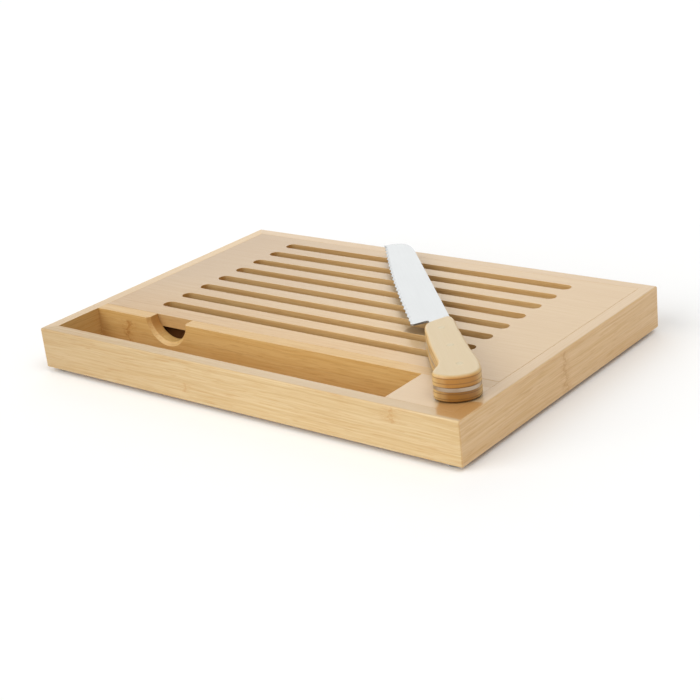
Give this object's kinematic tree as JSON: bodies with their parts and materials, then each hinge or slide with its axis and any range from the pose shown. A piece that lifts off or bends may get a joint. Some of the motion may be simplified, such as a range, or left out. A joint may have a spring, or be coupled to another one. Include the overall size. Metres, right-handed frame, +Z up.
{
  "type": "bread board with knife",
  "caption": "Rectangular bamboo bread board with a lift-out slotted crumb grid, a knife compartment with a finger notch, rubber feet and a serrated knife lying on it.",
  "frame": {"origin": "middle of the board's length and depth, on the plane that the rubber feet stand on", "axes": "+X along the board's length to the right, +Y to the back, away from the knife compartment, +Z up"},
  "size_m": [0.38, 0.252, 0.0537],
  "materials": {
    "bamboo": "sanded, lightly oiled",
    "handle_bamboo": "sanded smooth",
    "rubber": "matt",
    "blade_steel": "satin, polished along the blade",
    "rivet_steel": "ground flush"
  },
  "bodies": {
    "board": {"front_rail": "bamboo", "back_rail": "bamboo", "left_rail": "bamboo", "right_rail": "bamboo", "bottom_panel": "bamboo", "divider_rail": "bamboo", "corner_block": "bamboo", "left_ledge": "bamboo", "right_ledge": "bamboo", "foot_front_left": "rubber", "foot_front_right": "rubber", "foot_back_left": "rubber", "foot_back_right": "rubber"},
    "grid": {"slotted_grid": "bamboo"},
    "knife": {"knife_blade": "blade_steel", "knife_upper_scale": "handle_bamboo", "knife_lower_scale": "handle_bamboo", "knife_rivet_1": "rivet_steel", "knife_rivet_2": "rivet_steel", "knife_rivet_3": "rivet_steel"}
  },
  "joints": [
    {"name": "grid_lift", "type": "slide", "parent": "board", "child": "grid", "axis": [0, 0, 1], "range_m": [0, 0.03]},
    {"name": "knife_lift", "type": "slide", "parent": "grid", "child": "knife", "axis": [0, 0, 1], "range_m": [0, 0.06]}
  ]
}
